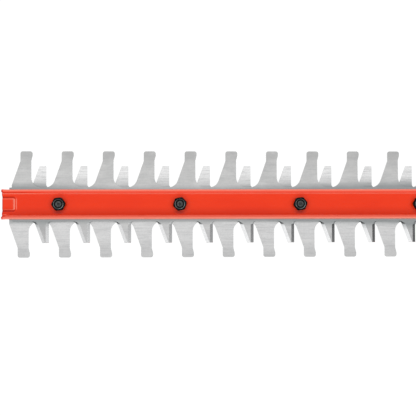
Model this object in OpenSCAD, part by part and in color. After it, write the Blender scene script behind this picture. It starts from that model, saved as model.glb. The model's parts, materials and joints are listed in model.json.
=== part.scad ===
// Cutter bar of a hedge trimmer: a pressed channel guide bar over two toothed
// blades that slide against each other, held by bolts with sleeves, washers and nuts.
//
// Frame: the origin is the centre of the four gearcase bolt holes, on the top face
// of the bar's foot. +X runs from the tip to the drive end, +Y across the teeth,
// +Z up through the bolt heads. Blade points are [along, across, corner radius],
// measured from the middle of the blade's first long tooth.

/* [Teeth] */
// Distance from one long tooth to the next
tooth_pitch = 35; // [30:0.5:45]
// Long teeth on each blade
tooth_count = 14; // [6:1:16]
// Reach of a long tooth from the bar's centreline
long_reach = 45.4; // [42:0.1:50]
// Reach of a short tooth from the bar's centreline
short_reach = 32.9; // [26:0.1:36]
// Width of a long tooth's blunt head
head_w = 10.3; // [9:0.1:11]
// Width of the ground edge on a short tooth's slanted side
slant_grind_w = 2.6; // [1:0.1:2.8]
// Width of the ground edge on a short tooth's straight side
straight_grind_w = 2.6; // [1:0.1:2.8]
// Depth of both ground edges
grind_depth = 1.7; // [1:0.1:1.9]

/* [Blades] */
// Thickness of a blade
blade_t = 2; // [1.5:0.1:3]
// Half width of the solid strip between the gullets
spine_half = 14.5; // [14:0.1:16]
// Free gap above and between the blades
blade_gap = 0.1; // [0.05:0.01:0.2]
// Travel of each blade either way from mid-stroke
stroke_half = 8.75; // [6:0.25:10]
// How far each blade stands from mid-stroke at rest
rest_lead = 1.2; // [0:0.05:4]
// Width of the slots that run on the sleeves
slot_w = 9.4; // [9.2:0.05:10]
// Bore of the drive bushes
drive_bore_d = 8; // [6:0.5:9]

/* [Guide bar] */
// Thickness of the pressed sheet
sheet_t = 2; // [1.5:0.1:2.5]
// Width over the flanges
bar_w = 25.4; // [24:0.2:28]
// Height of the raised web above the flanges
web_h = 3.3; // [2.8:0.1:4]
// Width of the raised web at its foot
web_w = 19.4; // [18:0.2:21]
// Distance from the first tooth's mid-stroke place to the gearcase bolt centre
bar_len = 511; // [505:1:515]
// Depth of the round dimple that each bolt head sits in
dimple_depth = 0.75; // [0.4:0.05:1]

/* [Bolts] */
// Number of bar bolts
bolt_count = 5; // [3:1:5]
// Distance from one bar bolt to the next
bolt_pitch = 102.8; // [90:0.2:104]
// Distance from the first tooth's mid-stroke place to the first bolt
first_bolt = 29.1; // [20:0.1:34]
// Nominal shank diameter of the bar bolts
bolt_d = 5.9; // [5:0.1:6]
// Width across the flats of heads and nuts
across_flats = 10; // [8:0.5:11]
// Height of a bolt head
head_h = 4; // [3:0.1:5]
// Outer diameter of the spacer sleeves
sleeve_d = 9; // [8:0.1:9.1]
// Outer diameter of the slide washers
washer_d = 22; // [18:0.5:24]
// Thickness of the slide washers
washer_t = 1.5; // [1:0.1:2]

/* [Foot] */
// Length of the foot that the gearcase bolts to
foot_len = 48; // [44:1:54]
// Width of the foot
foot_w = 54; // [52:1:60]
// Gearcase bolt spacing along the bar
foot_spacing_x = 30; // [26:1:36]
// Gearcase bolt spacing across the bar
foot_spacing_y = 40; // [39:0.5:44]
// Gearcase bolt hole diameter
foot_hole_d = 6.6; // [5.5:0.1:7]

/* [Hidden] */
function numbered(name) = [for (i = [1:bolt_count]) str(name, i)];
$fn = 64;
eps = 0.01;

// Levels, from the foot's top face at zero.
blade_top = -sheet_t - blade_gap;
blade_mid_plane = blade_top - blade_t - blade_gap / 2;
lower_face = 2 * blade_mid_plane - blade_top;
washer_top = lower_face - 2 * blade_gap;
nut_top = washer_top - washer_t;
nut_h = 6;
nut_flange_h = 1.2;
nut_collar_h = 1.1;
bolt_end = nut_top - nut_h - 1.1;
head_seat = web_h - 0.1 - dimple_depth;
web_underside = web_h - 0.1 - sheet_t;
sleeve_top = head_seat - sheet_t;

// Places along the bar.
tip_x = -bar_len;
nose = 18.35;
ear = 19.8;
web_len = bar_len - 34;
runout_angle = 20;

// Blade tang and drive eye, at the drive end.
eye_along = bar_len + 48;
eye_across = 9.6;
tang_half = 9;
bush_r = 6;
bush_fit = 0.02;
bush_collar_h = 1.5;

hole_clearance = 0.25;
nut_fit = 0.03;
hex_r = across_flats / 2 / cos(30);

// Replaces a corner by an arc that is tangent to both of its sides.
function unit(v) = v / norm(v);
function corner_arc(a, b, c, r, n) =
    let (
        to_a = unit(a - b),
        to_c = unit(c - b),
        half = acos(to_a * to_c) / 2,
        centre = b + unit(to_a + to_c) * r / sin(half),
        from_p = b + to_a * r / tan(half) - centre,
        to_q = b + to_c * r / tan(half) - centre,
        start = atan2(from_p.y, from_p.x),
        sweep = (atan2(to_q.y, to_q.x) - start + 540) % 360 - 180
    )
    [for (i = [0:n]) centre + r * [cos(start + sweep * i / n), sin(start + sweep * i / n)]];

// Turns corners [x, y, radius] into the points of an outline with rounded corners.
function flat(p) = [p[0], p[1]];
function rounded(corners, n = 6) =
    let (last = len(corners) - 1)
    [for (i = [0:last])
        let (
            p = corners[i],
            before = flat(corners[i == 0 ? last : i - 1]),
            after = flat(corners[i == last ? 0 : i + 1])
        )
        each (p[2] == 0 ? [flat(p)] : corner_arc(before, flat(p), after, p[2], n))
    ];

function along(corners, shift) = [for (p = corners) [p[0] + shift, p[1], p[2]]];
function across_mirror(corners) =
    [for (i = [len(corners) - 1:-1:0]) [corners[i][0], -corners[i][1], corners[i][2]]];

// One long tooth: slanted flank, blunt head, straight neck, wide root.
neck_x = 4.05;
slant_foot_x = -13.1;
long_tooth = [
    [slant_foot_x, spine_half, 8.5],
    [-head_w / 2, long_reach - 8.3, 2],
    [-head_w / 2, long_reach, 1.6],
    [head_w / 2, long_reach, 1.6],
    [head_w / 2, long_reach - 3.7, 1.6],
    [neck_x, long_reach - 8, 2],
    [neck_x, spine_half, 8.5]
];

// One short tooth, on the other side of the same blade, from right to left.
short_right = 19;
short_left = 13.3;
short_foot = 6.5;
short_root_r = 4;
heel_r = 2.5;
short_tooth = [
    [short_right, -spine_half, heel_r],
    [short_right, -short_reach, 0.6],
    [short_left, -short_reach, 0.6],
    [short_foot, -spine_half, short_root_r]
];

// Tang with the drive eye, offset to the side of the long teeth.
tang_end = eye_along + tang_half;
tang = [
    [bar_len + 29, spine_half, 4],
    [bar_len + 34, eye_across + tang_half, 4],
    [tang_end, eye_across + tang_half, tang_half - 0.1],
    [tang_end, eye_across - tang_half, tang_half - 0.1],
    [bar_len + 36, eye_across - tang_half, 4],
    [bar_len + 30, -spine_half, 6]
];

blade_start = -12.4;
blade_corners = concat(
    [for (k = [0:tooth_count - 1]) each along(long_tooth, k * tooth_pitch)],
    tang,
    [for (k = [tooth_count - 1:-1:0]) each along(short_tooth, k * tooth_pitch)],
    [[slant_foot_x - 10, -spine_half, 0], [slant_foot_x - 10, spine_half, 0]]
);

// Plan of the flanges and the foot, one side from the nose to the drive end.
bar_side = [
    [tip_x - nose, web_w / 2 - 0.2, 1.2],
    [tip_x - ear, bar_w / 2 - 1.6, 0.5],
    [tip_x - ear, bar_w / 2 + 0.2, 0.8],
    [tip_x - nose + 1.5, bar_w / 2, 4],
    [-foot_len / 2 - 12, bar_w / 2, 9],
    [-foot_len / 2, foot_w / 2, 7],
    [foot_len / 2, foot_w / 2, 7]
];

// Section of the raised web: steep sides, rounded shoulders, a flat top that curves down to them.
shoulder_drop = 1.1;
crown_half = 4.6;
web_side = [
    [crown_half, web_h, 25],
    [web_w / 2 - 0.8, web_h - shoulder_drop, 1.2],
    [web_w / 2, -eps, 0]
];
web_section = concat(web_side, [for (i = [2:-1:0]) [-web_side[i][0], web_side[i][1], web_side[i][2]]]);
channel_half = web_w / 2 - sheet_t;

function bolt_x(i) = tip_x + first_bolt + (i - 1) * bolt_pitch;

// Wedge that grinds the face at z = 0 back by width, from start along the angle turn.
// Outside the tooth it reaches width again, on the side that outward gives.
module grind(start, turn, length, width, outward) {
    overcut = 0.2;
    translate([start.x, start.y, 0])
        rotate([90, 0, turn + 90])
        linear_extrude(length)
        polygon([
            [-outward * width * (1 + overcut), grind_depth * overcut],
            [outward * width, grind_depth * overcut],
            [outward * width, -grind_depth],
            [0, -grind_depth]
        ]);
}

// Ground edges of one short tooth: both of its sides, and a facet into the slanted side's root.
module tooth_grind() {
    slant_start = 3.6;
    straight_start = 3;
    facet_step = [-3, 3];
    facet_turn = atan2(-facet_step.y, -facet_step.x);
    facet_w = 1.7;
    slant_turn = atan2(spine_half - short_reach, short_left - short_foot);
    slant_root = [short_foot, -spine_half] + slant_start * [cos(slant_turn), sin(slant_turn)];
    straight_root = [short_right, -spine_half - straight_start];
    grind(slant_root, slant_turn, short_reach, slant_grind_w, -1);
    grind(slant_root + facet_step, facet_turn, norm(facet_step) + 0.2, facet_w, -1);
    grind(straight_root, -90, short_reach, straight_grind_w, 1);
}

// A whole blade with its top face at z = 0 and its first long tooth at x = 0.
module blade() {
    slot_half = stroke_half + 0.4;
    difference() {
        translate([0, 0, -blade_t])
            linear_extrude(blade_t)
            intersection() {
                polygon(rounded(blade_corners));
                translate([blade_start, -2 * long_reach])
                    square([tang_end - blade_start + 1, 4 * long_reach]);
            }
        for (k = [0:tooth_count - 1])
            translate([k * tooth_pitch, 0, 0])
            tooth_grind();
        for (i = [1:bolt_count])
            translate([bolt_x(i) - tip_x, 0, -blade_t - 1])
            linear_extrude(blade_t + 2)
            union() {
                square([2 * slot_half, slot_w], center = true);
                for (side = [-1, 1])
                    translate([side * slot_half, 0])
                    circle(d = slot_w);
            }
        translate([eye_along, eye_across, -blade_t - 1])
            cylinder(r = bush_r + bush_fit, h = blade_t + 2);
    }
}

module drive_bush() {
    translate([eye_along, eye_across, 0])
        difference() {
            union() {
                translate([0, 0, -blade_t])
                    cylinder(r = bush_r, h = blade_t + bush_collar_h);
                cylinder(r = bush_r + 2, h = bush_collar_h);
            }
            translate([0, 0, -blade_t - 1])
                cylinder(d = drive_bore_d, h = blade_t + bush_collar_h + 2);
        }
}

// Puts a piece of the upper or of the lower blade in its place at rest.
module on_upper() {
    translate([tip_x + rest_lead, 0, blade_top])
        children();
}

module on_lower() {
    translate([tip_x - rest_lead, 0, lower_face])
        rotate([180, 0, 0])
        children();
}

module upper_blade() {
    color("silver")
        on_upper()
        blade();
}

module lower_blade() {
    color("gainsboro")
        on_lower()
        blade();
}

module upper_drive_bush() {
    color("goldenrod")
        on_upper()
        drive_bush();
}

module lower_drive_bush() {
    color("goldenrod")
        on_lower()
        drive_bush();
}

// Raised web as a solid bar, its drive end sloped down to the flanges.
module web_bar(section, length, top) {
    difference() {
        translate([tip_x - nose, 0, 0])
            rotate([90, 0, 90])
            linear_extrude(nose + length)
            polygon(section);
        translate([tip_x + length, 0, 0])
            rotate([0, runout_angle, 0])
            translate([-2 * bar_w, -bar_w, 0])
            cube([4 * bar_w, 2 * bar_w, 4 * top]);
    }
}

// Round-cornered block that is open at the nose, with sides that slope from r_low to r_high.
module nose_block(end_x, half, r_low, r_high, low, height) {
    hull()
        for (side = [-1, 1], x = [tip_x - nose - 4, end_x])
            translate([x, side * half, low])
            cylinder(r1 = r_low, r2 = r_high, h = height, $fn = 32);
}

module guide_bar() {
    groove_end = tip_x - 9.2;
    groove_half = 3.9;
    groove_floor = web_h - 1.1;
    panel_end = tip_x - 9.7;
    panel_half = 3.4;
    panel_top = web_h - 0.25;
    channel_top = web_underside - 0.1;
    channel = [
        [-channel_half, -sheet_t - 1],
        [-channel_half, channel_top - shoulder_drop],
        [-crown_half, channel_top],
        [crown_half, channel_top],
        [channel_half, channel_top - shoulder_drop],
        [channel_half, -sheet_t - 1]
    ];
    color("orangered")
        difference() {
            union() {
                difference() {
                    union() {
                        translate([0, 0, -sheet_t])
                            linear_extrude(sheet_t)
                            polygon(rounded(concat(bar_side, across_mirror(bar_side))));
                        web_bar(rounded(web_section), web_len + 9, web_h);
                    }
                    translate([-1, 0, 0])
                        web_bar(channel, web_len, web_h);
                }
                intersection() {
                    nose_block(groove_end, groove_half, 2.1, 3.4, groove_floor - sheet_t, sheet_t);
                    translate([tip_x - nose, -bar_w / 2, -sheet_t])
                        cube([nose, bar_w, sheet_t + channel_top + eps]);
                }
                for (i = [1:bolt_count])
                    translate([bolt_x(i), 0, sleeve_top])
                    cylinder(r1 = 5.6, r2 = 7.2, h = dimple_depth + 0.1);
            }
            difference() {
                nose_block(groove_end, groove_half, 1.5, 3.1, groove_floor, 1.3);
                nose_block(panel_end, panel_half, 1.7, 0.6, groove_floor - eps, panel_top - groove_floor);
            }
            for (i = [1:bolt_count])
                translate([bolt_x(i), 0, 0]) {
                    translate([0, 0, head_seat])
                        cylinder(r1 = 6.2, r2 = 8.4, h = dimple_depth + 0.2);
                    translate([0, 0, -sheet_t])
                        cylinder(d = bolt_d + 2 * hole_clearance, h = 3 * web_h);
                }
            for (sx = [-1, 1], sy = [-1, 1])
                translate([sx * foot_spacing_x / 2, sy * foot_spacing_y / 2, -sheet_t - 1])
                cylinder(d = foot_hole_d, h = sheet_t + 2);
        }
}

// Hexagon prism on z = 0 whose top corners are turned off by a 30 degree cone.
module turned_hex(h) {
    intersection() {
        cylinder(r = hex_r, h = h, $fn = 6);
        cylinder(r1 = across_flats / 2 + h / tan(30) * 0.9, r2 = across_flats / 2 * 0.98, h = h);
    }
}

module bar_bolt(i) {
    dish_r = 3.3;
    dish_depth = 0.7;
    tip_chamfer = 0.8;
    color("dimgray")
        translate([bolt_x(i), 0, 0]) {
            translate([0, 0, head_seat])
                difference() {
                    turned_hex(head_h);
                    translate([0, 0, head_h - dish_depth])
                        cylinder(r1 = dish_r - 0.6, r2 = dish_r + 0.1, h = dish_depth + 0.1);
                }
            translate([0, 0, bolt_end + tip_chamfer])
                cylinder(d = bolt_d, h = head_seat - bolt_end - tip_chamfer + eps);
            translate([0, 0, bolt_end])
                cylinder(r1 = bolt_d / 2 - tip_chamfer, r2 = bolt_d / 2, h = tip_chamfer + eps);
        }
}

module spacer_sleeve(i) {
    color("darkgray")
        translate([bolt_x(i), 0, washer_top])
        difference() {
            cylinder(d = sleeve_d, h = sleeve_top - washer_top);
            translate([0, 0, -1])
                cylinder(d = bolt_d + 2 * hole_clearance, h = sleeve_top - washer_top + 2);
        }
}

module slide_washer(i) {
    color("lightgray")
        translate([bolt_x(i), 0, nut_top])
        difference() {
            cylinder(d = washer_d, h = washer_t);
            translate([0, 0, -1])
                cylinder(d = bolt_d + 2 * hole_clearance, h = washer_t + 2);
        }
}

module lock_nut(i) {
    nut_flange_r = 7.3;
    color("gray")
        translate([bolt_x(i), 0, nut_top])
        rotate([180, 0, 0])
        difference() {
            union() {
                cylinder(r1 = nut_flange_r, r2 = nut_flange_r - 0.6, h = nut_flange_h);
                turned_hex(nut_h - nut_collar_h);
                cylinder(r = across_flats / 2 - 0.7, h = nut_h);
            }
            translate([0, 0, -1])
                cylinder(d = bolt_d + 2 * nut_fit, h = nut_h + 2);
        }
}

guide_bar();
upper_blade();
lower_blade();
upper_drive_bush();
lower_drive_bush();
for (i = [1:bolt_count]) {
    bar_bolt(i);
    spacer_sleeve(i);
    slide_washer(i);
    lock_nut(i);
}
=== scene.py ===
"""Hedge trimmer cutter bar: detailed meshes, materials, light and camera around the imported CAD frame."""

import json
import math

import bpy
from mathutils import Matrix, Vector
from mathutils.geometry import tessellate_polygon


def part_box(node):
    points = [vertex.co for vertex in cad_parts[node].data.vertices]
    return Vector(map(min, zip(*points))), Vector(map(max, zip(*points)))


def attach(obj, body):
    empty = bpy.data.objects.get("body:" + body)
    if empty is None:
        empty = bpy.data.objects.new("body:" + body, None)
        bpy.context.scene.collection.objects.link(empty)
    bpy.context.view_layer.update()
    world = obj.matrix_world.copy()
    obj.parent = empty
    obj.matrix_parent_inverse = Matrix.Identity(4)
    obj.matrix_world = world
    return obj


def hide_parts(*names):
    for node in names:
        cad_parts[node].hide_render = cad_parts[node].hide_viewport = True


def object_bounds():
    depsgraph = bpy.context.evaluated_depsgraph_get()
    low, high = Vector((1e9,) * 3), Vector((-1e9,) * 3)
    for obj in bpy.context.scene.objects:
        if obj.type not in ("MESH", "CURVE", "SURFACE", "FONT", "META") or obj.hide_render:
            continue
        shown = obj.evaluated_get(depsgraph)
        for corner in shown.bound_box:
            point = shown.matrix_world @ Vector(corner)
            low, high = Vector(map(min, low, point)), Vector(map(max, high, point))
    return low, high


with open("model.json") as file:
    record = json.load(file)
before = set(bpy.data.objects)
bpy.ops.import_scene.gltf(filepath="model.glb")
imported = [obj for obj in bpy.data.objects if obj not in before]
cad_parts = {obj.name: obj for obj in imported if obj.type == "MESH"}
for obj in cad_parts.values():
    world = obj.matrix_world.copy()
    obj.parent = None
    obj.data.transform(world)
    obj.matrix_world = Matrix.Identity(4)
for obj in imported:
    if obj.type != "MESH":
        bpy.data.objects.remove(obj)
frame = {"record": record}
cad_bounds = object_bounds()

MM = 0.001
BOLTS = range(1, 6)


# ---------------------------------------------------------------- places, from the frame

def box_mm(node):
    """A CAD node's lowest and highest corner, in millimetres."""
    low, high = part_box(node)
    return low / MM, high / MM


bar_low, bar_high = box_mm("guide_bar")
upper_low, _ = box_mm("upper_blade")
lower_low, _ = box_mm("lower_blade")
bolt_boxes = {i: box_mm(f"bar_bolt_{i}") for i in BOLTS}
bolt_x = {i: (low.x + high.x) / 2 for i, (low, high) in bolt_boxes.items()}
floor_z = cad_bounds[0].z / MM
foot_half = bar_high.y
foot_end = bar_high.x

EAR_SLOPE = 0.45
EAR_STEP = 1.0
nose_x = bar_low.x + EAR_SLOPE + EAR_STEP


# ---------------------------------------------------------------- outlines

def corner_arc(before, corner, after, radius, steps):
    """Points of the arc that rounds a corner, tangent to both of its sides."""
    to_before = (before - corner).normalized()
    to_after = (after - corner).normalized()
    half = to_before.angle(to_after) / 2
    centre = corner + (to_before + to_after).normalized() * radius / math.sin(half)
    start = corner + to_before * radius / math.tan(half) - centre
    end = corner + to_after * radius / math.tan(half) - centre
    first = math.atan2(start.y, start.x)
    sweep = (math.atan2(end.y, end.x) - first + 3 * math.pi) % (2 * math.pi) - math.pi
    turns = [first + sweep * i / steps for i in range(steps + 1)]
    return [centre + radius * Vector((math.cos(turn), math.sin(turn))) for turn in turns]


def rounded(corners, steps):
    """Closed outline of (point, radius) corners, with steps + 1 points at each corner."""
    points = []
    for i, (corner, radius) in enumerate(corners):
        before = corners[i - 1][0]
        after = corners[(i + 1) % len(corners)][0]
        points += corner_arc(before, corner, after, radius, steps)
    return points


def cross2(a, b):
    return a.x * b.y - a.y * b.x


def smooth(t):
    """Runs smoothly from 0 to 1 as t does, and stays there outside."""
    t = min(max(t, 0.0), 1.0)
    return t * t * (3 - 2 * t)


def bell(t, middle, width):
    return math.exp(-((t - middle) / width) ** 2)


def inset(corners, widths):
    """Moves each side of a clockwise outline inwards by its own width; side i leaves corner i."""
    moved = []
    for i, (corner, radius) in enumerate(corners):
        arriving = (corner - corners[i - 1][0]).normalized()
        leaving = (corners[(i + 1) % len(corners)][0] - corner).normalized()
        w_in, w_out = widths[i - 1], widths[i]
        p = corner + w_in * Vector((arriving.y, -arriving.x))
        q = corner + w_out * Vector((leaving.y, -leaving.x))
        turn = cross2(arriving, leaving)
        meet = p + arriving * cross2(q - p, leaving) / turn
        mean = (w_in + w_out) / 2
        moved.append((meet, max(radius - mean, 0.05) if turn < 0 else radius + mean))
    return moved


# ---------------------------------------------------------------- mesh helpers

class Shell:
    """Collects vertices in millimetres and faces, then makes one mesh object."""

    def __init__(self):
        self.points = []
        self.faces = []
        self.tones = []

    def ring(self, points, tones=0.0):
        """Adds points with one tone, or with a list of a tone for each, and returns their numbers."""
        first = len(self.points)
        self.points += [tuple(p) for p in points]
        self.tones += tones if isinstance(tones, list) else [tones] * len(points)
        return list(range(first, first + len(points)))

    def bridge(self, a, b, closed=True):
        """Quads from ring a to ring b, which have as many points each."""
        count = len(a) if closed else len(a) - 1
        for i in range(count):
            j = (i + 1) % len(a)
            self.faces.append((a[i], a[j], b[j], b[i]))

    def cap(self, outer, holes, up):
        """Flat face between an outer ring and the rings of its holes."""
        rings = [outer] + holes
        index = [i for ring in rings for i in ring]
        loops = [[Vector(self.points[i]) for i in ring] for ring in rings]
        for tri in tessellate_polygon(loops):
            face = [index[i] for i in tri]
            a, b, c = (Vector(self.points[i]) for i in face)
            if ((b - a).cross(c - a).z > 0) != up:
                face.reverse()
            self.faces.append(tuple(face))

    def build(self, name, sharp_deg=32):
        mesh = bpy.data.meshes.new(name)
        mesh.from_pydata([Vector(p) * MM for p in self.points], [], self.faces)
        mesh.attributes.new("tone", "FLOAT", "POINT").data.foreach_set("value", self.tones)
        mesh.validate()
        for polygon in mesh.polygons:
            polygon.use_smooth = True
        mesh.set_sharp_from_angle(angle=math.radians(sharp_deg))
        piece = bpy.data.objects.new(name, mesh)
        bpy.context.scene.collection.objects.link(piece)
        return piece


def finish_piece(piece, material, body, slot, *nodes):
    piece.data.materials.append(material)
    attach(piece, body)
    if nodes:
        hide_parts(*nodes)
    return piece


def circle_points(x, y, z, radius, count=48):
    turn = 2 * math.pi / count
    return [(x + radius * math.cos(i * turn), y + radius * math.sin(i * turn), z) for i in range(count)]


def lathe(name, profile, x, y, count=64):
    """Closed ring turned about the vertical line through x, y; profile is (radius, z) pairs."""
    shell = Shell()
    rings = [shell.ring(circle_points(x, y, z, r, count)) for r, z in profile]
    for a, b in zip(rings, rings[1:] + rings[:1]):
        shell.bridge(a, b)
    return shell.build(name)


def ring_profile(r_in, r_out, z_low, z_high, edge):
    """Section of a turned ring with its four edges broken by edge."""
    return [
        (r_in, z_low + edge), (r_in, z_high - edge), (r_in + edge, z_high), (r_out - edge, z_high),
        (r_out - 0.3 * edge, z_high - 0.3 * edge), (r_out, z_high - edge), (r_out, z_low + edge),
        (r_out - 0.3 * edge, z_low + 0.3 * edge), (r_out - edge, z_low), (r_in + edge, z_low),
    ]


# ---------------------------------------------------------------- materials

def new_material(name):
    material = bpy.data.materials.new(name)
    material.use_nodes = True
    tree = material.node_tree
    return material, tree, tree.nodes["Principled BSDF"]


def add(tree, kind, **settings):
    node = tree.nodes.new(kind)
    for key, value in settings.items():
        setattr(node, key, value)
    return node


def stretched_noise(tree, scale, detail=4.0, roughness=0.6):
    """Noise in the piece's own space, scaled apart along each axis."""
    place = add(tree, "ShaderNodeTexCoord")
    mapping = add(tree, "ShaderNodeMapping")
    mapping.inputs["Scale"].default_value = scale
    tree.links.new(place.outputs["Object"], mapping.inputs["Vector"])
    noise = add(tree, "ShaderNodeTexNoise")
    noise.inputs["Scale"].default_value = 1.0
    noise.inputs["Detail"].default_value = detail
    noise.inputs["Roughness"].default_value = roughness
    tree.links.new(mapping.outputs["Vector"], noise.inputs["Vector"])
    return noise.outputs["Fac"]


def ramp(tree, fac, low, high, start=0.0, end=1.0):
    """Maps fac from start..end to low..high, clamped."""
    node = add(tree, "ShaderNodeMapRange")
    node.inputs["From Min"].default_value = start
    node.inputs["From Max"].default_value = end
    node.inputs["To Min"].default_value = low
    node.inputs["To Max"].default_value = high
    tree.links.new(fac, node.inputs["Value"])
    return node.outputs["Result"]


def mix_colour(tree, fac, a, b):
    node = add(tree, "ShaderNodeMix", data_type="RGBA")
    tree.links.new(fac, node.inputs["Factor"])
    for value, socket in ((a, node.inputs[6]), (b, node.inputs[7])):
        if isinstance(value, tuple):
            socket.default_value = (*value, 1.0)
        else:
            tree.links.new(value, socket)
    return node.outputs[2]


def math_node(tree, operation, *values):
    node = add(tree, "ShaderNodeMath", operation=operation)
    for i, value in enumerate(values):
        if isinstance(value, (int, float)):
            node.inputs[i].default_value = value
        else:
            tree.links.new(value, node.inputs[i])
    return node.outputs[0]


def times(tree, a, b):
    return math_node(tree, "MULTIPLY", a, b)


def grey(level):
    return (level, level, level)


def marked(tree, base, noise, amount, start, end, colour):
    """base with up to amount of colour mixed in as noise runs from start to end."""
    return mix_colour(tree, ramp(tree, noise, 0.0, amount, start, end), base, colour)


def bump(tree, height, strength, distance, normal=None):
    node = add(tree, "ShaderNodeBump")
    node.inputs["Strength"].default_value = strength
    node.inputs["Distance"].default_value = distance
    tree.links.new(height, node.inputs["Height"])
    if normal is not None:
        tree.links.new(normal, node.inputs["Normal"])
    return node.outputs["Normal"]


def tone_of(tree):
    """The mesh's own tone: above 0 for painted highlights and paler marks, below 0 for painted shade in
    creases and corners.
    """
    return add(tree, "ShaderNodeAttribute", attribute_name="tone").outputs["Fac"]


# Stretches over which the steel's tone changes, in metres: out from the centreline, or along the bar.
LONG_TIP = (0.029, 0.042)
SHORT_HALF = (0.0, 0.001)
SHORT_INNER = (0.0160, 0.0265)
SHORT_OUTER = (0.0150, 0.0210)
# Painted shade beside the bar fades out over this stretch.
BAR_SHADE_REACH = (0.0128, 0.0185)
LINE_START = (0.0140, 0.0147)
LINE_END = (0.0150, 0.0160)
NOSE_TEETH = (-0.505, -0.43)
NOSE_BAR_SHADE = (-0.505, -0.45)
MIDDLE_BAR_SHADE = (-0.34, -0.15)
MIDDLE_TEETH = (-0.26, -0.17)

OUTER_STEEL = (0.51, 0.51, 0.505)
OUTER_TIP = (0.43, 0.43, 0.425)
BEVEL_STEEL = (0.72, 0.725, 0.73)
BAND_STEEL = (0.34, 0.345, 0.35)
GRAIN_STEEL = (0.36, 0.365, 0.37)
LINE_STEEL = (0.40, 0.405, 0.41)
PATCH_STEEL = (0.74, 0.74, 0.735)
BAR_SHADE_STEEL = (0.19, 0.21, 0.215)
OIL_AND_SHADOW_STEEL = (0.09, 0.1, 0.1)
ROOT_SHADE = (0.03, 0.033, 0.035)


def inner_steel(tree, reach, short_way):
    """The mating face: duller at the long tips, palest on the short teeth, which painted shade darkens
    towards their roots.
    """
    face = mix_colour(tree, ramp(tree, reach, 0.0, 1.0, *LONG_TIP), grey(0.61), grey(0.505))
    face = marked(tree, face, short_way, 1.0, *SHORT_HALF, grey(0.50))
    # Painted shade: the short teeth darken towards their roots.
    return marked(tree, face, short_way, 1.0, *SHORT_INNER, grey(0.79))


def outer_steel(tree, reach, short_way, along):
    """The outer face: duller at the long tips; painted shading makes its short teeth darker at the nose
    than in the middle.
    """
    face = mix_colour(tree, ramp(tree, reach, 0.0, 1.0, *LONG_TIP), OUTER_STEEL, OUTER_TIP)
    # Painted shading along the bar: the short teeth darker at the nose, lighter in the middle.
    short = mix_colour(tree, ramp(tree, along, 0.0, 1.0, *NOSE_TEETH), grey(0.36), grey(0.525))
    short = marked(tree, short, along, 1.0, *MIDDLE_TEETH, grey(0.45))
    return mix_colour(tree, ramp(tree, short_way, 0.0, 1.0, *SHORT_OUTER), face, short)


def bar_shade_spread(tree, short_way, along, long_side, short_side):
    """How much wider than usual the band of painted shade beside the bar is, in metres."""
    spread = ramp(tree, along, -0.0017, 0.0040, *MIDDLE_BAR_SHADE)
    spread = math_node(tree, "ADD", spread, ramp(tree, short_way, long_side, short_side, *SHORT_HALF))
    return math_node(tree, "ADD", spread, ramp(tree, along, 0.0030, 0.0, *NOSE_BAR_SHADE))


def oil_and_shadow_line(tree, reach, outer):
    """Thin dark line along the spine's edge, on the mating face only: greasy dirt, and a painted contact
    shadow of the other blade's edge.
    """
    line = times(tree, ramp(tree, reach, 0.0, 0.16, *LINE_START), ramp(tree, reach, 1.0, 0.0, *LINE_END))
    return times(tree, line, ramp(tree, outer, 1.0, 0.0))


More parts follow.
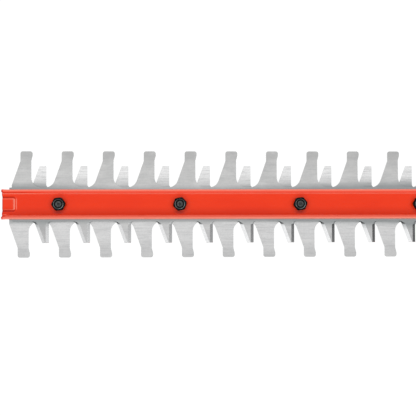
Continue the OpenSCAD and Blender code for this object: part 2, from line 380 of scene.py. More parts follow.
def ground_steel(name, outer_sign):
    """Ground spring steel: grinding lines along the blade, a band of painted shade by the bar, paler mating
    face.
    outer_sign is 1 where the blade's outer face looks up, and -1 where it looks down."""
    material, tree, shader = new_material(name)
    place = add(tree, "ShaderNodeTexCoord")
    normal = add(tree, "ShaderNodeSeparateXYZ")
    tree.links.new(place.outputs["Normal"], normal.inputs["Vector"])
    facing = times(tree, normal.outputs["Z"], outer_sign)
    outer = ramp(tree, facing, 0.0, 1.0, -0.2, 0.2)
    bevel = ramp(tree, math_node(tree, "ABSOLUTE", facing), 1.0, 0.0, 0.93, 0.98)
    where = add(tree, "ShaderNodeSeparateXYZ")
    tree.links.new(place.outputs["Object"], where.inputs["Vector"])
    along = where.outputs["X"]
    reach = math_node(tree, "ABSOLUTE", where.outputs["Y"])
    short_way = times(tree, where.outputs["Y"], -outer_sign)

    lines = stretched_noise(tree, (16, 2100, 600), detail=3.0)
    patches = stretched_noise(tree, (70, 130, 60), detail=5.0)
    fine = stretched_noise(tree, (90, 5200, 3000), detail=2.0)
    bands = stretched_noise(tree, (80, 760, 300))
    grain = stretched_noise(tree, (700, 800, 700), detail=3.0)
    inner_face = inner_steel(tree, reach, short_way)
    face = mix_colour(tree, outer, inner_face, outer_steel(tree, reach, short_way, along))
    face = marked(tree, face, bands, 0.40, 0.48, 0.70, BAND_STEEL)
    face = marked(tree, face, grain, 0.34, 0.45, 0.75, GRAIN_STEEL)
    face = mix_colour(tree, bevel, face, BEVEL_STEEL)
    face = marked(tree, face, lines, 0.38, 0.42, 0.72, LINE_STEEL)
    face = marked(tree, face, patches, 0.28, 0.45, 0.75, PATCH_STEEL)

    long_side, short_side = (0.0, 0.0012) if outer_sign > 0 else (-0.0014, 0.0003)
    spread = bar_shade_spread(tree, short_way, along, long_side, short_side)
    # Painted shade: a darker band on the steel beside the bar, where the bar shades the blades.
    shade_by_bar = ramp(tree, math_node(tree, "SUBTRACT", reach, spread), 0.68, 0.0, *BAR_SHADE_REACH)
    colour = mix_colour(tree, shade_by_bar, face, BAR_SHADE_STEEL)
    # Greasy dirt and a painted contact shadow along the upper blade's spine edge.
    if outer_sign < 0:
        colour = mix_colour(tree, oil_and_shadow_line(tree, reach, outer), colour, OIL_AND_SHADOW_STEEL)
    colour = mix_colour(tree, ramp(tree, tone_of(tree), 0.95, 0.0, -0.6, -0.05), colour, ROOT_SHADE)
    tree.links.new(colour, shader.inputs["Base Color"])
    rough = math_node(tree, "ADD", ramp(tree, lines, 0.24, 0.36), ramp(tree, patches, -0.04, 0.06))
    tree.links.new(times(tree, rough, ramp(tree, bevel, 1.0, 0.5)), shader.inputs["Roughness"])
    shader.inputs["Metallic"].default_value = 1.0
    relief = bump(tree, fine, 0.12, 0.00006)
    tree.links.new(bump(tree, lines, 0.16, 0.0001, relief), shader.inputs["Normal"])
    return material


PAINT = (0.83, 0.029, 0.0)
PAINT_CLOUD = (0.87, 0.036, 0.001)
PAINT_SCUFF = (0.88, 0.12, 0.06)
PAINT_HIGHLIGHT = (0.95, 0.29, 0.205)
PAINT_SHADE = (0.36, 0.007, 0.0)


def orange_paint():
    """Semi-gloss powder coat with a faint orange peel, paler under painted highlights, darker under painted
    shade in the creases, on the web's front half and beside the bolts.
    """
    material, tree, shader = new_material("orange_paint")
    peel = stretched_noise(tree, (700, 700, 700), detail=2.0)
    cloud = stretched_noise(tree, (25, 60, 60))
    scuff = stretched_noise(tree, (110, 1400, 500), detail=5.0, roughness=0.7)
    tone = tone_of(tree)
    base = mix_colour(tree, ramp(tree, cloud, 0.0, 1.0, 0.3, 0.7), PAINT, PAINT_CLOUD)
    base = marked(tree, base, scuff, 0.25, 0.66, 0.8, PAINT_SCUFF)
    # Painted highlight: positive tone, broken up by the scuff noise, mixes in the pale paint.
    wear_and_highlight = times(tree, ramp(tree, tone, 0.0, 1.0), ramp(tree, scuff, 0.75, 1.0, 0.3, 0.5))
    base = mix_colour(tree, wear_and_highlight, base, PAINT_HIGHLIGHT)
    base = mix_colour(tree, ramp(tree, tone, 1.0, 0.0, -1.0, 0.0), base, PAINT_SHADE)
    tree.links.new(base, shader.inputs["Base Color"])
    tree.links.new(ramp(tree, scuff, 0.30, 0.42, 0.4, 0.75), shader.inputs["Roughness"])
    shader.inputs["Specular IOR Level"].default_value = 0.17
    shader.inputs["Coat Weight"].default_value = 0.12
    shader.inputs["Coat Roughness"].default_value = 0.12
    tree.links.new(bump(tree, peel, 0.05, 0.0002), shader.inputs["Normal"])
    return material


OXIDE = (0.0015, 0.0018, 0.002)
OXIDE_WORN_AND_HIGHLIGHT = (0.33, 0.35, 0.35)


def black_oxide():
    """Oiled black oxide with small scuffed marks, paler where the mesh's tone is raised: a painted
    highlight round each head's rim, and paler marks in its dish.
    """
    material, tree, shader = new_material("black_oxide")
    wear_and_highlight = stretched_noise(tree, (900, 900, 500), detail=6.0, roughness=0.7)
    tone = tone_of(tree)
    # Painted highlight round the head's rim, and paler marks in its dish, both broken up by the noise.
    rim_highlight_and_dish_marks = times(tree, ramp(tree, tone, 0.0, 1.0), ramp(tree, wear_and_highlight, 0.2, 1.0, 0.38, 0.58))
    spots = times(tree, ramp(tree, wear_and_highlight, 0.0, 1.0, 0.5, 0.66), 0.5)
    spots = times(tree, spots, ramp(tree, tone, 0.15, 1.0))
    pale = math_node(tree, "MAXIMUM", rim_highlight_and_dish_marks, spots)
    tree.links.new(mix_colour(tree, pale, OXIDE, OXIDE_WORN_AND_HIGHLIGHT), shader.inputs["Base Color"])
    tree.links.new(ramp(tree, wear_and_highlight, 0.28, 0.5, 0.3, 0.7), shader.inputs["Roughness"])
    shader.inputs["Specular IOR Level"].default_value = 0.05
    shader.inputs["Metallic"].default_value = 0.2
    tree.links.new(bump(tree, wear_and_highlight, 0.25, 0.0002), shader.inputs["Normal"])
    return material


def turned_metal(name, pale, dark, rough, metallic=1.0):
    """Turned or tumbled metal, or plain plastic: soft patches of tone, fine rings of roughness and bump."""
    material, tree, shader = new_material(name)
    rings = stretched_noise(tree, (300, 300, 2500), detail=3.0)
    patches = stretched_noise(tree, (220, 220, 220))
    colour = mix_colour(tree, ramp(tree, patches, 0.0, 1.0, 0.3, 0.75), pale, dark)
    tree.links.new(colour, shader.inputs["Base Color"])
    tree.links.new(ramp(tree, rings, rough - 0.06, rough + 0.1), shader.inputs["Roughness"])
    shader.inputs["Metallic"].default_value = metallic
    tree.links.new(bump(tree, rings, 0.15, 0.0001), shader.inputs["Normal"])
    return material


# ---------------------------------------------------------------- blades

BLADE_T = 2.0
SPINE = 14.5
PITCH = 35.0
TEETH = 14
EDGE = 0.08
GRIND_DEPTH = 1.7
GRIND_W = 2.6
ARC_STEPS = 8
BLADE_START = -12.4
LONG_TOOTH = [
    # along, across, corner radius
    (-13.1, SPINE, 8.5), (-5.15, 37.1, 2), (-5.15, 45.4, 1.9), (5.15, 45.4, 1.9),
    (5.15, 41.7, 1.6), (4.05, 37.4, 2), (4.05, SPINE, 8.5),
]
SHORT_TOOTH = [
    # along, across, corner radius, ground width of the side that leaves this corner
    (19.0, -SPINE, 2.5, GRIND_W), (19.0, -32.9, 0.4, EDGE),
    (13.3, -32.9, 0.4, GRIND_W), (6.5, -SPINE, 4, EDGE),
]
EYE = Vector((559.0, 9.6))
EYE_R = 6.02
TANG_HALF = 9.0
TANG = [
    # along from the eye, across, corner radius
    (-19, SPINE, 4), (-14, EYE.y + TANG_HALF, 4),
    (TANG_HALF, EYE.y + TANG_HALF, TANG_HALF - 0.1), (TANG_HALF, EYE.y - TANG_HALF, TANG_HALF - 0.1),
    (-12, EYE.y - TANG_HALF, 4), (-18, -SPINE, 6),
]
SLOT_HALF_W = 4.7
SLOT_HALF = 9.15
SLOT_STEPS = 16
RUN_OUT_SHADE = 4.0
RUN_IN_SHADE = 1.7


def blade_outline():
    """Corners, and each side's ground width and depth, clockwise from the blade's tip end."""
    foot, kink = Vector(LONG_TOOTH[0][:2]), Vector(LONG_TOOTH[1][:2])
    start_y = foot.y + (BLADE_START - foot.x) * (kink.y - foot.y) / (kink.x - foot.x)
    corners = [(Vector((BLADE_START, start_y)), 0.3)]
    widths, depths = [EDGE], [EDGE]

    def corner(x, y, r, width=EDGE):
        corners.append((Vector((x, y)), r))
        widths.append(width)
        depths.append(GRIND_DEPTH if width > EDGE else EDGE)

    for k in range(TEETH):
        for x, y, r in LONG_TOOTH[1 if k == 0 else 0:]:
            corner(x + k * PITCH, y, r)
    for x, y, r in TANG:
        corner(x + EYE.x, y, r)
    for k in reversed(range(TEETH)):
        for x, y, r, width in SHORT_TOOTH:
            corner(x + k * PITCH, y, r, width)
    corner(BLADE_START, -SPINE, 0.6)
    return corners, widths, depths


def slot_outline(x, grow):
    """Round-ended slot about x, made wider by grow on every side."""
    r = SLOT_HALF_W + grow
    points = []
    for side, first in ((1, -math.pi / 2), (-1, math.pi / 2)):
        for i in range(SLOT_STEPS + 1):
            a = first + math.pi * i / SLOT_STEPS
            points.append(Vector((x + side * SLOT_HALF + r * math.cos(a), r * math.sin(a))))
    return points


def eye_outline(grow):
    return [Vector(p[:2]) for p in circle_points(EYE.x, EYE.y, 0, EYE_R + grow)]


def at(points, z):
    return [(p.x, p.y, z) for p in points]


def ground_edge(corners, depths):
    """Depth of the ground edge at each outline point, and the shade where the grinding starts or stops."""
    levels, tones = [], []
    for i, (_, radius) in enumerate(corners):
        arriving, leaving = depths[i - 1], depths[i]
        shade = 0.0
        if abs(leaving - arriving) > 1 and radius > 2:
            shade = RUN_OUT_SHADE if leaving < arriving else RUN_IN_SHADE
        for step in range(ARC_STEPS + 1):
            t = step / ARC_STEPS
            levels.append(-(arriving + (leaving - arriving) * smooth(t)))
            tones.append(-shade * t * (1 - t))
    return levels, tones


def cut_hole(shell, outline_at):
    """Walls of a hole with eased edges; returns its top and bottom rings."""
    rings = [
        shell.ring(at(outline_at(EDGE), 0)),
        shell.ring(at(outline_at(0), -EDGE)),
        shell.ring(at(outline_at(0), EDGE - BLADE_T)),
        shell.ring(at(outline_at(EDGE), -BLADE_T)),
    ]
    for a, b in zip(rings, rings[1:]):
        shell.bridge(b, a)
    return rings[0], rings[-1]


def make_blade(name, low, flipped):
    """One blade: low is its CAD box's lowest corner; the lower blade is the upper one turned over."""
    corners, widths, depths = blade_outline()
    outline = rounded(corners, ARC_STEPS)
    eased = rounded(inset(corners, [EDGE] * len(corners)), ARC_STEPS)
    ground = rounded(inset(corners, widths), ARC_STEPS)
    levels, tones = ground_edge(corners, depths)
    shell = Shell()
    rings = [
        shell.ring(at(ground, 0)),
        shell.ring([(p.x, p.y, z) for p, z in zip(outline, levels)], tones),
        shell.ring(at(outline, EDGE - BLADE_T)),
        shell.ring(at(eased, -BLADE_T)),
    ]
    for a, b in zip(rings, rings[1:]):
        shell.bridge(a, b)
    first_tooth = low.x - BLADE_START
    mid_stroke = (upper_low.x + lower_low.x) / 2 - BLADE_START
    hole_makers = [lambda grow, x=bolt_x[i] - mid_stroke: slot_outline(x, grow) for i in BOLTS]
    holes = [cut_hole(shell, outline_at) for outline_at in hole_makers + [eye_outline]]
    shell.cap(rings[0], [top for top, _ in holes], up=True)
    shell.cap(rings[-1], [bottom for _, bottom in holes], up=False)
    if flipped:
        shell.points = [(x + first_tooth, -y, low.z - z) for x, y, z in shell.points]
    else:
        shell.points = [(x + first_tooth, y, low.z + BLADE_T + z) for x, y, z in shell.points]
    return shell.build(name, sharp_deg=28)


upper = make_blade("upper_cutter", upper_low, flipped=False)
finish_piece(upper, ground_steel("upper_steel", 1), "upper_blade", "ground_steel", "upper_blade")
lower = make_blade("lower_cutter", lower_low, flipped=True)
finish_piece(lower, ground_steel("lower_steel", -1), "lower_blade", "ground_steel", "lower_blade")


# ---------------------------------------------------------------- guide bar

BAR_HALF = 12.7
SHEET = 2.0
WEB_H = 3.3
PRESS_HALF = 9.3
WEB_RUN_OUT_START = -47
WEB_RUN_OUT = 14
CROWN_FLAT = 2.4
CROWN_REACH = 6.4
CROWN_FALL = 1.03
SECTION_STEP = 0.36
FLARE_START = -11
FLARE = 14
FOOT_CORNER = 7
DIMPLE_DEPTH = 0.42
DIMPLE_R = 5.6
DIMPLE_SLOPE = 3.6
PANEL_END = 10.1
PANEL_HALF = 5.0
PANEL_CORNER = 1.3
BAR_SHARP_DEG = 38
DRILL_REACH = 10
BOLT_HOLE_R = 3.2


def section_arc(before, corner, after, radius, steps, edge=0.0):
    """Rounded corner of the section, as (y, z, edge share) points."""
    return [(p.x, p.y, edge) for p in corner_arc(before, corner, after, radius, steps)]


def bar_section():
    """Closed section of the pressed sheet, one half then its mirror image, as (y, z, edge share)
    points. The edge share is 1 on the bar's edge, which follows the widening into the foot."""
    crown_end, shoulder, web_foot = Vector((7.9, 2.52)), Vector((8.95, 2.2)), Vector((9.65, 0.0))
    edge_top, edge_low = Vector((BAR_HALF, -0.25)), Vector((BAR_HALF, -SHEET))
    channel_low, channel_high, roof = Vector((8.0, -SHEET)), Vector((7.6, 0.1)), Vector((4.6, 1.1))
    steps = [i * SECTION_STEP for i in range(23)]
    half = [(y, WEB_H - CROWN_FALL * (max(y - CROWN_FLAT, 0) / CROWN_REACH) ** 2, 0.0) for y in steps]
    half += section_arc(crown_end, shoulder, web_foot, 0.8, 6)
    half += section_arc(shoulder, web_foot, edge_top, 0.5, 5)
    half += [(10.6, -0.06, 0.3), (11.1, -0.1, 0.6)]
    half += section_arc(web_foot, edge_top, edge_low, 0.8, 7, 1.0)
    half += section_arc(edge_top, edge_low, channel_low, 0.35, 4, 1.0)
    half += section_arc(edge_low, channel_low, channel_high, 0.5, 5)
    half += section_arc(channel_low, channel_high, roof, 0.8, 5)
    half += [(y, roof.y - 0.8 * max(y - 3.6, 0) ** 2 / 12, 0.0) for y in reversed(steps[:18])]
    mirrored = [(-y, z, edge) for y, z, edge in reversed(half[1:-1])]
    return half + mirrored


def bar_stations():
    """Places along the bar where its section is drawn, closer together where the pressing has detail."""
    stations = set()

    def fill(start, end, step):
        count = max(1, round((end - start) / step))
        stations.update(round(start + (end - start) * i / count, 4) for i in range(count + 1))

    dimple_end = DIMPLE_R + DIMPLE_SLOPE
    fine_end = -14
    corner_x = foot_end - FOOT_CORNER
    fill(nose_x, nose_x + 4, 0.5)
    fill(nose_x + 4, nose_x + 15, 0.3)
    for i in BOLTS:
        fill(bolt_x[i] - dimple_end, bolt_x[i] + dimple_end, 0.4)
    fill(nose_x + 16, WEB_RUN_OUT_START + WEB_RUN_OUT / 2, 12)
    fill(WEB_RUN_OUT_START - 1, fine_end, 1.0)
    fill(fine_end, corner_x, 4)
    stations.update(corner_x + FOOT_CORNER * math.sin(math.radians(a)) for a in range(0, 91, 10))
    ordered = sorted(stations)
    return [x for i, x in enumerate(ordered) if i == 0 or x - ordered[i - 1] > 0.05]


def half_width(x):
    """Half the bar's width at x: the flanges, then the widening into the foot and its round corners."""
    w = BAR_HALF + (foot_half - BAR_HALF) * smooth((x + foot_end - FLARE_START) / FLARE)
    past_corner = x - (foot_end - FOOT_CORNER)
    if past_corner > 0:
        w -= FOOT_CORNER - math.sqrt(max(FOOT_CORNER ** 2 - past_corner ** 2, 0))
    return w


def outside_panel(x, y):
    """Distance from x, y to the edge of the raised panel in the open nose, below 0 on the panel."""
    dx = max(x - (nose_x + PANEL_END - PANEL_CORNER), 0)
    dy = max(abs(y) - (PANEL_HALF - PANEL_CORNER), 0)
    return math.hypot(dx, dy) - PANEL_CORNER


def groove_press(x, y):
    """How far the groove round the nose panel sinks the sheet at x, y."""
    out = outside_panel(x, y)
    inner = 0.12 + 0.93 * smooth((out + 1.1) / 1.35)
    return inner * (1 - smooth((out - 0.5) / 1.8))


def dimple_press(x, y):
    """How far the dimple under the nearest bolt sinks the sheet at x, y."""
    away = min(math.hypot(x - middle, y) for middle in bolt_x.values())
    return DIMPLE_DEPTH * (1 - smooth((away - DIMPLE_R) / DIMPLE_SLOPE))


def flange_tone(past_nose, y):
    """Painted highlights on the flanges and the rear shoulder, painted shade on the web's front half and in
    the rear crease.
    """
    side = abs(y)
    tone = 0.16 * smooth((side - 9.2) / 0.6) + 0.42 * smooth((side - 10.8) / 1.2)
    tone += 0.22 * smooth((-y - 9.0) / 0.6) + 0.35 * bell(-y, 12.1, 0.9) + 0.28 * bell(y, 11.8, 0.6)
    tone += (0.5 + 0.4 * (1 - smooth((past_nose - 15) / 30))) * bell(y, 9.1, 0.34)
    tone -= 0.38 * smooth((-y - 1) / 8) * (1 - smooth((side - 8.8) / 0.4))
    tone -= 0.65 * bell(y, 9.9, 0.35) * (1 - smooth((past_nose - 16) / 20))
    return tone


def nose_tone(past_nose, y):
    """Painted highlight on the front shoulder at the nose, and painted shade along the nose's edge and on
    its ears.
    """
    tone = 0.8 * bell(past_nose, 2.2, 2.2) * bell(y, -8.7, 0.5)
    tone -= 0.6 * bell(past_nose, 0.9, 1.3) * bell(y, -9.9, 0.6)
    tone -= 1.3 * bell(past_nose, 0, 0.6) * smooth((abs(y) - 9.5) / 1.5)
    return tone - 0.9 * bell(past_nose, 0, 0.4)


def panel_tone(x, y):
    """Painted highlights on the rims of the nose panel and its groove, painted shade in the groove between
    them.
    """
    out = outside_panel(x, y)
    at_end = smooth((x - nose_x - 7.5) / 2.5) * (1 - smooth((abs(y) - 4) / 1.5))
    tone = (0.5 + 0.6 * at_end) * bell(out, 0.3 * at_end - 0.45, 0.45 + 0.25 * at_end)
    tone += (0.05 + 0.8 * at_end) * bell(out, 1.8, 0.35)
    return tone - (0.85 - 0.75 * at_end) * bell(out, 0.75, 0.5)


def bolt_tone(x, y):
    """Shade on the web in front of each bolt head, and a fainter one behind it."""
    tone = 0.0
    for middle in bolt_x.values():
        tone -= 0.6 * bell(x, middle - 0.3, 3.8) * bell(y, -6.7, 1.6)
        tone -= 0.25 * bell(x, middle + 1.0, 3.4) * bell(y, 7.2, 1.9)
    return tone


def paint_tone(x, y, z):
    """Above 0 where a painted highlight makes the paint paler, below 0 where painted shade darkens it, 0 on
    the underside.
    """
    if z < -1.0:
        return 0.0
    tone = flange_tone(x - nose_x, y) + nose_tone(x - nose_x, y) + bolt_tone(x, y)
    if x < nose_x + 15 and abs(y) < 9:
        tone += panel_tone(x, y)
    return max(-1.0, min(1.0, tone))


def ear_reach(side):
    """How far the ears at the nose stand out, at this distance from the centreline."""
    reach = EAR_SLOPE * smooth((side - 5) / 4.3) + EAR_STEP * smooth((side - 9.9) / 0.6)
    return reach - 0.4 * smooth((side - 11.9) / 0.9)


def bar_point(x, y, z, edge):
    """Place of a section point at x, after the web's run-out, the widening, the ears and the pressing."""
    height = 1 - smooth((x - WEB_RUN_OUT_START) / WEB_RUN_OUT)
    near_nose = 1 - smooth((x - nose_x) / 3)
    side = abs(y)
    if side < 8.2 and z < 1.5:
        level = -SHEET + (z + SHEET) * height
    else:
        level = z * height if z > 0 else z
    wide = math.copysign(edge * (half_width(x) - BAR_HALF + 0.2 * near_nose), y)
    press = groove_press(x, y) + dimple_press(x, y) if side < PRESS_HALF else 0
    return x - ear_reach(side) * near_nose, y + wide, level - press


def make_bar():
    section = bar_section()
    shell = Shell()
    rings = []
    for x in bar_stations():
        tones = [paint_tone(x, y, z) for y, z, _ in section]
        rings.append(shell.ring([bar_point(x, *point) for point in section], tones))
    for a, b in zip(rings, rings[1:]):
        shell.bridge(a, b)
    shell.faces.append(tuple(rings[0]))
    shell.faces.append(tuple(reversed(rings[-1])))
    return shell.build("painted_guide_bar", sharp_deg=BAR_SHARP_DEG)


def drill(piece, holes):
    """Bores holes, given as (x, y, radius), down through a piece."""
    shell = Shell()
    for x, y, r in holes:
        top = shell.ring(circle_points(x, y, DRILL_REACH, r))
        bottom = shell.ring(circle_points(x, y, -DRILL_REACH, r))
        shell.bridge(bottom, top)
        shell.faces.append(tuple(top))
        shell.faces.append(tuple(reversed(bottom)))
    cutter = shell.build("cutter")
    cut = piece.modifiers.new("holes", "BOOLEAN")
    cut.operation = "DIFFERENCE"
    cut.solver = "EXACT"
    cut.object = cutter
    graph = bpy.context.evaluated_depsgraph_get()
    mesh = bpy.data.meshes.new_from_object(piece.evaluated_get(graph))
    piece.modifiers.clear()
    piece.data = mesh
    bpy.data.objects.remove(cutter)
    mesh.set_sharp_from_angle(angle=math.radians(BAR_SHARP_DEG))


bar = make_bar()
mount = next(m for m in frame["record"]["mounts"] if m["name"] == "gearcase_bolts")
dims = mount["dims"]
half_x, half_y = dims["spacing_x_mm"] / 2, dims["spacing_y_mm"] / 2
foot_holes = [(sx * half_x, sy * half_y, dims["hole_r_mm"]) for sx in (-1, 1) for sy in (-1, 1)]
drill(bar, foot_holes + [(bolt_x[i], 0, BOLT_HOLE_R) for i in BOLTS])
finish_piece(bar, orange_paint(), "bar", "orange_paint", "guide_bar")


# ---------------------------------------------------------------- bolts, nuts, sleeves, washers, bushes

ACROSS = 10.8
NUT_ACROSS = 10.0
CORNER_EASE = 0.34
HEAD_H = 4.0
SHANK_R = 2.95
SHANK_END = 6.2
THREADS = 6
THREAD_PITCH = 0.9
BOLT_SPIN = (5, 12, 8, 2, 9)
RING_POINTS = 96
HIGHLIGHT_TURN = -0.65
FAR_HIGHLIGHT_TURN = 3.3
SLOPE_30 = math.tan(math.radians(30))
HEAD_DISH = [
    # radius, depth below the head's top, tone
    (0.01, 0.62, 0.22), (0.7, 0.6, 0.08), (1.3, 0.5, 0.26), (1.8, 0.46, 0.38), (2.3, 0.55, 0.28),
    (2.8, 0.72, 0.0), (3.2, 0.7, 0.0), (3.55, 0.35, 0.0), (3.8, 0.1, 0.3),
]


def hex_reach(angle):
    """Distance from a hexagon's middle to its side, with a corner at angle zero, its corners eased."""
    off = (angle + math.pi / 6) % (math.pi / 3) - math.pi / 6
    side = ACROSS / 2 / math.cos(math.pi / 6 - abs(off))
    return min(side, ACROSS / 2 / math.cos(math.pi / 6) - CORNER_EASE)


def hex_points(x, z_at, shrink=0.0, spin=0.0):
    """Hexagon about x, drawn in by shrink; z_at gives the height at each distance from its middle."""
    points = []
    for i in range(RING_POINTS):
        a = 2 * math.pi * i / RING_POINTS
        r = hex_reach(a - spin) - shrink
        points.append((x + r * math.cos(a), r * math.sin(a), z_at(r)))
    return points


def rim_highlight_tones():
    """Tone round the head's rim, a painted highlight: strongest in front towards the drive end, and weaker
    opposite.
    """
    tones = []
    for k in range(RING_POINTS):
        turn = 2 * math.pi * k / RING_POINTS
        near = bell(math.cos(turn - HIGHLIGHT_TURN), 1.0, 0.35)
        far = bell(math.cos(turn - FAR_HIGHLIGHT_TURN), 1.0, 0.3)
        tones.append(0.3 + 0.7 * near + 0.4 * far)
    return tones


def make_bolt(i):
    """Hex bolt with a dished, chamfered head and thread rings at its end."""
    low, high = bolt_boxes[i]
    seat = high.z - HEAD_H
    x = bolt_x[i]
    shell = Shell()
    spin = math.radians(BOLT_SPIN[i - 1])
    chamfer_r = ACROSS / 2 * 0.93

    def ring(r, z, tone=0.0):
        return shell.ring(circle_points(x, 0, z, r, RING_POINTS), tone)

    def hex_ring(z_at, shrink=0.0):
        return shell.ring(hex_points(x, z_at, shrink, spin))

    def crown(r):
        return high.z - 0.1 - max(r - chamfer_r, 0) * SLOPE_30

    # Painted highlight round the rim of the head's dish.
    rim_highlight = rim_highlight_tones()
    rings = [ring(r, high.z - depth, tone) for r, depth, tone in HEAD_DISH]
    rings += [ring(4.0, high.z, rim_highlight), ring(4.2, high.z - 0.02, rim_highlight), ring(4.35, high.z - 0.05)]
    rings += [ring(chamfer_r, high.z - 0.1)]
    rings += [hex_ring(crown, 0.12), hex_ring(lambda r: crown(r) - 0.2)]
    rings += [hex_ring(lambda r: seat + 0.2), hex_ring(lambda r: seat, 0.2)]
    rings += [ring(SHANK_R, seat), ring(SHANK_R, low.z + SHANK_END)]
    for k in reversed(range(THREADS)):
        z = low.z + 0.8 + k * THREAD_PITCH
        rings += [ring(SHANK_R, z + 0.25), ring(SHANK_R, z + 0.05), ring(SHANK_R - 0.45, z - 0.25)]
    rings += [ring(SHANK_R - 0.55, low.z), ring(0.01, low.z)]
    for a, b in zip(rings, rings[1:]):
        shell.bridge(b, a)
    shell.faces.append(tuple(rings[0]))
    shell.faces.append(tuple(reversed(rings[-1])))
    return shell.build(f"hex_bolt_{i}", sharp_deg=26)


def make_nut(i):
    """Flanged lock nut, its flange up against the washer and its collar down."""
    low, high = box_mm(f"lock_nut_{i}")
    x = bolt_x[i]
    bore = SHANK_R + 0.05
    flange_r = (high.x - low.x) / 2
    hex_low = low.z + 1.1
    shrink = (ACROSS - NUT_ACROSS) / 2
    shell = Shell()

    def ring(r, z):
        return shell.ring(circle_points(x, 0, z, r, RING_POINTS))

    def hex_ring(z_at, more=0.0):
        return shell.ring(hex_points(x, z_at, shrink + more))

    def foot_cone(r):
        return hex_low + max(r - 4.75, 0) * SLOPE_30 + 0.06

    rings = [ring(bore, high.z), ring(flange_r - 0.3, high.z), ring(flange_r, high.z - 0.3)]
    rings += [ring(flange_r - 0.15, high.z - 0.8), ring(flange_r - 0.7, high.z - 1.15)]
    rings += [hex_ring(lambda r: high.z - 1.7), hex_ring(lambda r: foot_cone(r) + 0.2)]
    rings += [hex_ring(foot_cone, 0.12), ring(4.7, hex_low), ring(4.45, hex_low - 0.05)]
    rings += [ring(4.3, hex_low - 0.4), ring(4.25, low.z + 0.3), ring(4.0, low.z), ring(3.75, low.z + 0.12)]
    rings += [ring(3.7, low.z + 0.5), ring(bore, low.z + 0.5)]
    for a, b in zip(rings, rings[1:] + rings[:1]):
        shell.bridge(b, a)
    return shell.build(f"flange_nut_{i}", sharp_deg=26)


def make_nylon(i):
    low, _ = box_mm(f"lock_nut_{i}")
    profile = ring_profile(SHANK_R + 0.02, 3.68, low.z + 0.18, low.z + 0.8, 0.1)
    return lathe(f"nylon_ring_{i}", profile, bolt_x[i], 0)


def make_ring(name, node, edge):
    """Sleeve or washer that fills its CAD node's box, bored to clear the bolt."""
    low, high = box_mm(node)
    middle = (low + high) / 2
    profile = ring_profile(BOLT_HOLE_R, (high.x - low.x) / 2, low.z, high.z, edge)
    return lathe(name, profile, middle.x, middle.y, RING_POINTS)


def make_bush(name, node, collar_up):
    """Bearing bush with a collar at its top, or at its foot."""
    low, high = box_mm(node)
    middle = (low + high) / 2
    r_bore, r_body, r_collar, collar = 4.0, 6.0, (high.x - low.x) / 2, 1.5
    profile = [
        (r_bore + 0.3, low.z), (r_bore, low.z + 0.3), (r_bore, high.z - 0.3), (r_bore + 0.3, high.z),
        (r_collar - 0.3, high.z), (r_collar, high.z - 0.3), (r_collar, high.z - collar + 0.15),
        (r_collar - 0.15, high.z - collar), (r_body, high.z - collar),
        (r_body, low.z + 0.2), (r_body - 0.2, low.z),
    ]
    if not collar_up:
        profile = [(r, low.z + high.z - z) for r, z in reversed(profile)]
    return lathe(name, profile, middle.x, middle.y, RING_POINTS)


oxide = black_oxide()
plain = turned_metal("tumbled_steel", (0.46, 0.46, 0.455), (0.34, 0.345, 0.35), 0.34)
zinc = turned_metal("zinc_plate", (0.58, 0.6, 0.62), (0.42, 0.44, 0.45), 0.3)
bronze = turned_metal("bearing_bronze", (0.62, 0.42, 0.2), (0.45, 0.29, 0.13), 0.3)
nylon = turned_metal("nylon", (0.75, 0.76, 0.74), (0.62, 0.63, 0.6), 0.45, metallic=0.0)

for i in BOLTS:
    finish_piece(make_bolt(i), oxide, "bar", "black_oxide", f"bar_bolt_{i}")
    finish_piece(make_nut(i), zinc, "bar", "zinc_steel", f"lock_nut_{i}")
    finish_piece(make_nylon(i), nylon, "bar", "zinc_steel")
    for name, node, edge in (("sleeve", "spacer_sleeve", 0.2), ("washer", "slide_washer", 0.35)):
        piece = make_ring(f"{name}_{i}", f"{node}_{i}", edge)
        finish_piece(piece, plain, "bar", "plain_steel", f"{node}_{i}")
for body, collar_up in (("upper", True), ("lower", False)):
    bush = make_bush(f"{body}_eye_bush", f"{body}_drive_bush", collar_up)
    finish_piece(bush, bronze, f"{body}_blade", "bush_bronze", f"{body}_drive_bush")


# ---------------------------------------------------------------- floor, light and camera

FLOOR_HALF = 6000
FLOOR_GAP = 0.02


def make_floor():
    """Pale floor just under the part, lit mostly by itself so that it stays even and white."""
    shell = Shell()
    corners = [(-FLOOR_HALF, -FLOOR_HALF), (FLOOR_HALF, -FLOOR_HALF)]
    corners += [(FLOOR_HALF, FLOOR_HALF), (-FLOOR_HALF, FLOOR_HALF)]
    shell.faces.append(tuple(shell.ring([(x, y, floor_z - FLOOR_GAP) for x, y in corners])))
    floor = shell.build("floor")
    material, tree, shader = new_material("pale_floor")
    shader.inputs["Base Color"].default_value = (*grey(0.12), 1)
    shader.inputs["Roughness"].default_value = 1.0
    shader.inputs["Specular IOR Level"].default_value = 0.0
    shader.inputs["Emission Color"].default_value = (1, 1, 1, 1)
    shader.inputs["Emission Strength"].default_value = 0.95
    floor.data.materials.append(material)


def area_light(name, place, target, size, power):
    light = bpy.data.lights.new(name, "AREA")
    light.shape = "RECTANGLE"
    light.size, light.size_y = size
    light.energy = power
    lamp = bpy.data.objects.new(name, light)
    lamp.location = place
    lamp.rotation_euler = (Vector(target) - Vector(place)).to_track_quat("-Z", "Y").to_euler()
    bpy.context.scene.collection.objects.link(lamp)


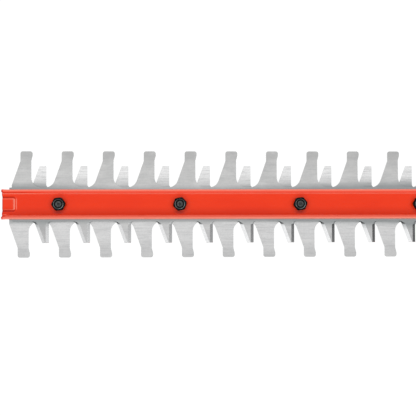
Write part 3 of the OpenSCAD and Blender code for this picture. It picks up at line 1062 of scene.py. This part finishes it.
def studio_world():
    """Soft surround: bright overhead and to the tip, dimmer to both sides, darkest to the drive end."""
    world = bpy.data.worlds.new("studio")
    world.use_nodes = True
    tree = world.node_tree
    place = add(tree, "ShaderNodeTexCoord")
    toward = add(tree, "ShaderNodeSeparateXYZ")
    tree.links.new(place.outputs["Generated"], toward.inputs["Vector"])
    to_drive, to_rear, up = (toward.outputs[axis] for axis in "XYZ")
    to_tip = times(tree, to_drive, -1)
    to_front = times(tree, to_rear, -1)

    level = ramp(tree, to_drive, 1.15, 0.09, 0.86, 0.975)
    level = times(tree, level, ramp(tree, to_tip, 1.0, 1.12, 0.25, 0.7))
    level = times(tree, level, ramp(tree, to_tip, 1.0, 0.62, 0.84, 0.92))
    low_front = ramp(tree, to_front, 0.0, 0.8, 0.78, 0.92)
    front = math_node(tree, "SUBTRACT", to_front, ramp(tree, to_drive, 0.0, 0.3, 0.25, 0.6))
    front = math_node(tree, "MAXIMUM", ramp(tree, front, 1.0, 0.30, 0.36, 0.68), low_front)
    level = times(tree, level, front)
    level = times(tree, level, ramp(tree, to_rear, 1.0, 0.55, 0.45, 0.9))
    level = times(tree, level, ramp(tree, to_drive, 1.02, 0.94, -0.2, 0.25))
    horizon = ramp(tree, up, 1.0, 0.0, 0.05, 0.14)
    level = math_node(tree, "ADD", times(tree, level, ramp(tree, horizon, 1.0, 0.0)), horizon)
    background = tree.nodes["Background"]
    background.inputs["Color"].default_value = (1, 1, 1, 1)
    tree.links.new(level, background.inputs["Strength"])
    bpy.context.scene.world = world


make_floor()
studio_world()
middle_x = (cad_bounds[0].x + cad_bounds[1].x) / 2
area_light("key_soft", (middle_x - 0.2, 1.2, 1.08), (middle_x - 0.1, 0, 0), (1.3, 0.5), 2)
bpy.context.scene.view_settings.view_transform = "Standard"

# The camera's place in millimetres, from the first bolt, across and up, and its turns from straight down.
CAMERA_FROM_BOLT = 92.95
CAMERA_ACROSS = -33.6
CAMERA_HEIGHT = 900.0
YAW = math.radians(2.156)
TILT = math.radians(1.923)
ROLL = math.radians(-0.161)
FOCAL_PER_WIDTH = 2.53365
SENSOR = 36.0


def make_camera():
    data = bpy.data.cameras.new("camera")
    data.sensor_width = SENSOR
    data.lens = SENSOR * FOCAL_PER_WIDTH
    camera = bpy.data.objects.new("camera", data)
    bpy.context.scene.collection.objects.link(camera)
    ahead = Vector((math.sin(YAW) * math.cos(TILT), math.sin(TILT), -math.cos(YAW) * math.cos(TILT)))
    level_right = Vector((math.cos(YAW), 0, math.sin(YAW)))
    right = level_right * math.cos(ROLL) + level_right.cross(ahead) * math.sin(ROLL)
    turn = Matrix((right, right.cross(ahead), -ahead)).transposed().to_4x4()
    place = Vector((bolt_x[1] + CAMERA_FROM_BOLT, CAMERA_ACROSS, CAMERA_HEIGHT)) * MM
    camera.matrix_world = Matrix.Translation(place) @ turn
    bpy.context.scene.camera = camera


make_camera()
